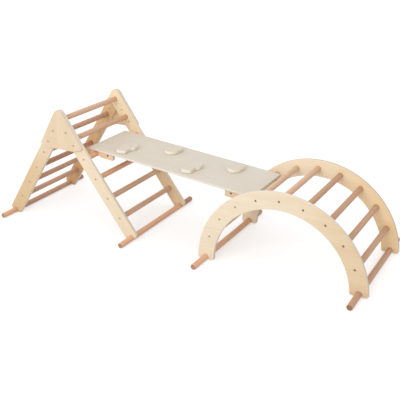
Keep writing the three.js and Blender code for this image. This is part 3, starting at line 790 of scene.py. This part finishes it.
hook_corners = HOOK_TIP + arc(0, 0, HOOK_NOTCH, 180, 0, HOOK_NOTCH_STEPS) + HOOK_TAIL
for end_name, end_x, inwards in RAMP_ENDS:
    outline = rounded([(inwards * x, z, radius) for x, z, radius in hook_corners])
    # The triangle's hooks are lighter and more orange than the arch's: painted light in the board's
    # shade.
    pale = VENEER_PEACH_LIT if end_name == "triangle" else VENEER_BUFF
    hook_birch = birch_ply(f"birch_hook_{end_name}", PANEL_THICKNESS, (0.2, 0.2),
                           veneers=(pale, VENEER_STRAW))
    for side_name, side in SIDES:
        node = f"hook_{end_name}_{side_name}"
        holes = [(inwards * HOOK_BOLT_REACH, HOOK_BOLT_RISE, side, HEAD_HOLE)]
        sheet = cut_sheet(f"{node}_sheet", outline, PANEL_THICKNESS, holes=holes)
        place = on_ramp(end_x, side * (HOOK_OUTER_FACE - PANEL_THICKNESS / 2), 0)
        add_piece(f"{node}_birch", sheet, hook_birch, "ramp", [node], place)

# Battens and bolts of the brackets: a solid birch bar across the board at each end, held
# between the two brackets by a bronzed bolt through each of them.
BATTEN_GAP = 0.3 * MM
BATTEN_LENGTH = 2 * (HOOK_OUTER_FACE - PANEL_THICKNESS - BATTEN_GAP)
BATTEN_HALF_WIDTH = 16 * MM
BATTEN_HALF_HEIGHT = 13 * MM
BATTEN_CORNER = 3 * MM
BATTEN_END_ROUND = 1.6 * MM
BATTEN_LIGHT = (0.800, 0.660, 0.480, 1)
BATTEN_DARK = (0.700, 0.540, 0.360, 1)
HOOK_BOLT_LENGTH = 52 * MM
BOLT_TIP = 1 * MM
TIP_RADIUS = 2 * MM


def bolt_with_tip(length):
    return HEAD_PROFILE + [(SHANK_RADIUS, length - BOLT_TIP), (TIP_RADIUS, length)]


def solid_birch(name, light, dark):
    material, start = new_material(name)
    place = start.node("TexCoord", output="Object")
    number = start.node("ObjectInfo", output="Object Index")
    block = place.moved(start.vector(x=number * 0.37, y=number * 0.19))
    warp = block.noise(6, 2)
    rings = block.stretched((90, 7, 90)).moved(start.vector(x=warp * 3)).noise(1.2, 4, 0.6)
    flecks = block.stretched((620, 60, 620)).noise(1, 2).between(0.60, 0.70)
    base = (rings.between(0.34, 0.68) * 0.8 + warp * 0.2).blend(light, dark)
    base = base.node("VectorMath", {"operation": "SCALE"}, {0: base, "Scale": 1 - flecks * 0.12})
    finish_material(start, base, 0.48 + rings * 0.12, rings * 0.5 - flecks * 0.5, 0.06 * MM)
    return material


batten_birch = solid_birch("birch_batten", BATTEN_LIGHT, BATTEN_DARK)
batten_outline = rectangle(BATTEN_HALF_WIDTH, BATTEN_HALF_HEIGHT, BATTEN_CORNER)
hook_bolt = bolt_with_tip(HOOK_BOLT_LENGTH)
for end_name, end_x, inwards in RAMP_ENDS:
    node = f"ramp_batten_{end_name}"
    bolt_x = end_x + inwards * HOOK_BOLT_REACH
    sheet = cut_sheet(f"{node}_bar", batten_outline, BATTEN_LENGTH, BATTEN_END_ROUND)
    add_piece(f"{node}_birch", sheet, batten_birch, "ramp", [node],
              on_ramp(bolt_x, 0, HOOK_BOLT_RISE))
    for side_name, side in SIDES:
        node = f"hook_bolt_{end_name}_{side_name}"
        place = ramp_place @ looking_out(side, bolt_x, side * HOOK_OUTER_FACE, HOOK_BOLT_RISE)
        mesh = turned(f"{node}_turning", hook_bolt, [place], BOLT_SEGMENTS)
        add_piece(f"{node}_steel", mesh, bronze, "ramp", [node])

# Climbing holds: four flat pebbles of birch plywood with eased rims and a waist on one side,
# bolted up through the board from below. Long ones stand on the board's near side, and short
# ones, turned round, on its far side.
HOLD_THICKNESS = 20 * MM
HOLD_ROUND = 3.6 * MM
HOLD_SEAT = 0.3 * MM
HOLD_TURN = math.radians(8)
HOLD_OFFSET = 72 * MM
HOLD_SIZES = {-1: (70 * MM, 144 * MM), 1: (73 * MM, 116 * MM)}
# The pebble's outline in shares of its width and length, and the holds' places in shares of the
# way down the ramp.
HOLD_SHARES = [(-0.06, -0.5), (0.44, -0.36), (0.37, -0.06), (0.49, 0.2), (0.28, 0.46),
               (-0.14, 0.5), (-0.42, 0.3), (-0.5, -0.06), (-0.4, -0.38)]
HOLD_PLACES = [(0.161, -1), (0.389, 1), (0.611, -1), (0.812, 1)]
HOLD_CURVE_STEPS = 8
HOLD_BOLT_LENGTH = 25 * MM
# Cream layers for the holds' rims, lighter than the board's: partly painted light on their lit
# front faces.
PLY_CREAMY_LIT = [(0.960, 0.900, 0.790, 1), (0.900, 0.825, 0.705, 1)]


def closed_curve(knots, steps):
    """A smooth closed curve through all the knots."""
    points = []
    count = len(knots)
    for index in range(count):
        a, b, c, d = (knots[(index + shift) % count] for shift in (-1, 0, 1, 2))
        for step in range(steps):
            t = step / steps
            points.append(b + (c - a) * (t / 2) + (a * 2 - b * 5 + c * 4 - d) * (t * t / 2)
                          + (b * 3 - a - c * 3 + d) * (t * t * t / 2))
    return points


hold_birch = birch_ply("birch_hold", HOLD_THICKNESS, (0.3, 0.3), layers=PLY_CREAMY_LIT,
                       veneers=(VENEER_RAMP, VENEER_SAND))
hold_bolt = bolt_with_tip(HOLD_BOLT_LENGTH)
hold_height = BOARD_TOP + HOLD_SEAT + HOLD_THICKNESS / 2
for number, (share, side) in enumerate(HOLD_PLACES, 1):
    width, length = HOLD_SIZES[side]
    outline = closed_curve([Vector((-side * across * width, -side * along * length))
                            for across, along in HOLD_SHARES], HOLD_CURVE_STEPS)
    mesh = cut_sheet(f"climbing_hold_{number}_pebble", outline, HOLD_THICKNESS, HOLD_ROUND)
    place = (on_ramp(share * HOOK_SPACING, side * HOLD_OFFSET, hold_height)
             @ Matrix.Rotation(-HOLD_TURN, 4, "Z") @ LYING)
    add_piece(f"climbing_hold_{number}_birch", mesh, hold_birch, "ramp",
              [f"climbing_hold_{number}"], place)
    node = f"hold_bolt_{number}"
    place = (on_ramp(share * HOOK_SPACING, side * HOLD_OFFSET, BOARD_UNDERSIDE)
             @ LYING.inverted())
    mesh = turned(f"{node}_turning", hold_bolt, [place], BOLT_SEGMENTS)
    add_piece(f"{node}_steel", mesh, bronze, "ramp", [node])

# Studio: a white floor that keeps a soft shadow, a white surround, one broad lamp above the
# camera's left, and the camera where the photograph was taken from.
WHITE = (1, 1, 1, 1)
FLOOR_HALF = 14
FLOOR_COLOUR = (0.62, 0.62, 0.62, 1)
FLOOR_GLOW = 0.5
ROOM_LIGHT = 0.9
LAMP_SIZE = (4, 3)
LAMP_POWER = 108
LAMP_COLOUR = (1, 0.985, 0.96)
LAMP_SPOT = Vector((-0.3, -5.5, 3.6))
LAMP_AIM = Vector((0, 0, 0.3))
CAMERA_SPOT = Vector((1850.1, -2915.3, 1660.5)) * MM
CAMERA_TURN = math.radians(30.176)
CAMERA_RISE = math.radians(22.072)
CAMERA_ROLL = math.radians(-1.397)
CAMERA_LENS = 61.597
CAMERA_FILM = 36
CAMERA_SHIFT = (-0.0326, -0.0345)
CAMERA_FARTHEST = 60

floor_mesh = bpy.data.meshes.new("studio_floor")
floor_corners = [(x * FLOOR_HALF, y * FLOOR_HALF, 0)
                 for x, y in ((-1, -1), (1, -1), (1, 1), (-1, 1))]
floor_mesh.from_pydata(floor_corners, [], [(0, 1, 2, 3)])
floor = bpy.data.objects.new("studio_floor", floor_mesh)
bpy.context.scene.collection.objects.link(floor)


def background_seen(start):
    """1 where the camera looks at the background, directly or in gloss or glass, otherwise 0."""
    camera, glossy, through = (start.node("LightPath", output=f"Is {kind} Ray")
                               for kind in ("Camera", "Glossy", "Transmission"))
    return start.maths("MINIMUM", camera + glossy + through, 1)


floor_white, start = new_material("studio_white")
matt = start.node("BsdfDiffuse", {}, {"Color": FLOOR_COLOUR})
glow = start.node("Emission", {}, {"Color": WHITE, "Strength": FLOOR_GLOW})
bright = start.node("AddShader", {}, {0: matt, 1: glow})
start.node("OutputMaterial", {}, {
    "Surface": start.node("MixShader", {}, {0: background_seen(start), 1: matt, 2: bright})})
floor_mesh.materials.append(floor_white)

world = bpy.data.worlds.new("studio_surround")
bpy.context.scene.world = world
world.use_nodes = True
world.node_tree.nodes.clear()
start = Field(world.node_tree)
lighting, backdrop = (start.node("Background", {}, {"Color": WHITE, "Strength": strength})
                      for strength in (ROOM_LIGHT, 1))
start.node("OutputWorld", {}, {
    "Surface": start.node("MixShader", {}, {0: background_seen(start), 1: lighting, 2: backdrop})})

lamp_data = bpy.data.lights.new("softbox", "AREA")
lamp_data.shape = "RECTANGLE"
lamp_data.size, lamp_data.size_y = LAMP_SIZE
lamp_data.energy = LAMP_POWER
lamp_data.color = LAMP_COLOUR
lamp = bpy.data.objects.new("softbox", lamp_data)
bpy.context.scene.collection.objects.link(lamp)
lamp.location = LAMP_SPOT
lamp.rotation_euler = (LAMP_AIM - LAMP_SPOT).to_track_quat("-Z", "Y").to_euler()

back = Vector((math.sin(CAMERA_TURN) * math.cos(CAMERA_RISE),
               -math.cos(CAMERA_TURN) * math.cos(CAMERA_RISE), math.sin(CAMERA_RISE)))
right = Vector((math.cos(CAMERA_TURN), math.sin(CAMERA_TURN), 0))
up = back.cross(right)
turned_right = right * math.cos(CAMERA_ROLL) + up * math.sin(CAMERA_ROLL)
turned_up = up * math.cos(CAMERA_ROLL) - right * math.sin(CAMERA_ROLL)
camera_data = bpy.data.cameras.new("photograph_view")
camera_data.lens = CAMERA_LENS
camera_data.sensor_width = CAMERA_FILM
camera_data.shift_x, camera_data.shift_y = CAMERA_SHIFT
camera_data.clip_end = CAMERA_FARTHEST
camera = bpy.data.objects.new("photograph_view", camera_data)
bpy.context.scene.collection.objects.link(camera)
camera.matrix_world = Matrix.Translation(CAMERA_SPOT) @ Matrix(
    (turned_right, turned_up, back)).transposed().to_4x4()
bpy.context.scene.camera = camera
bpy.context.scene.view_settings.view_transform = "Standard"
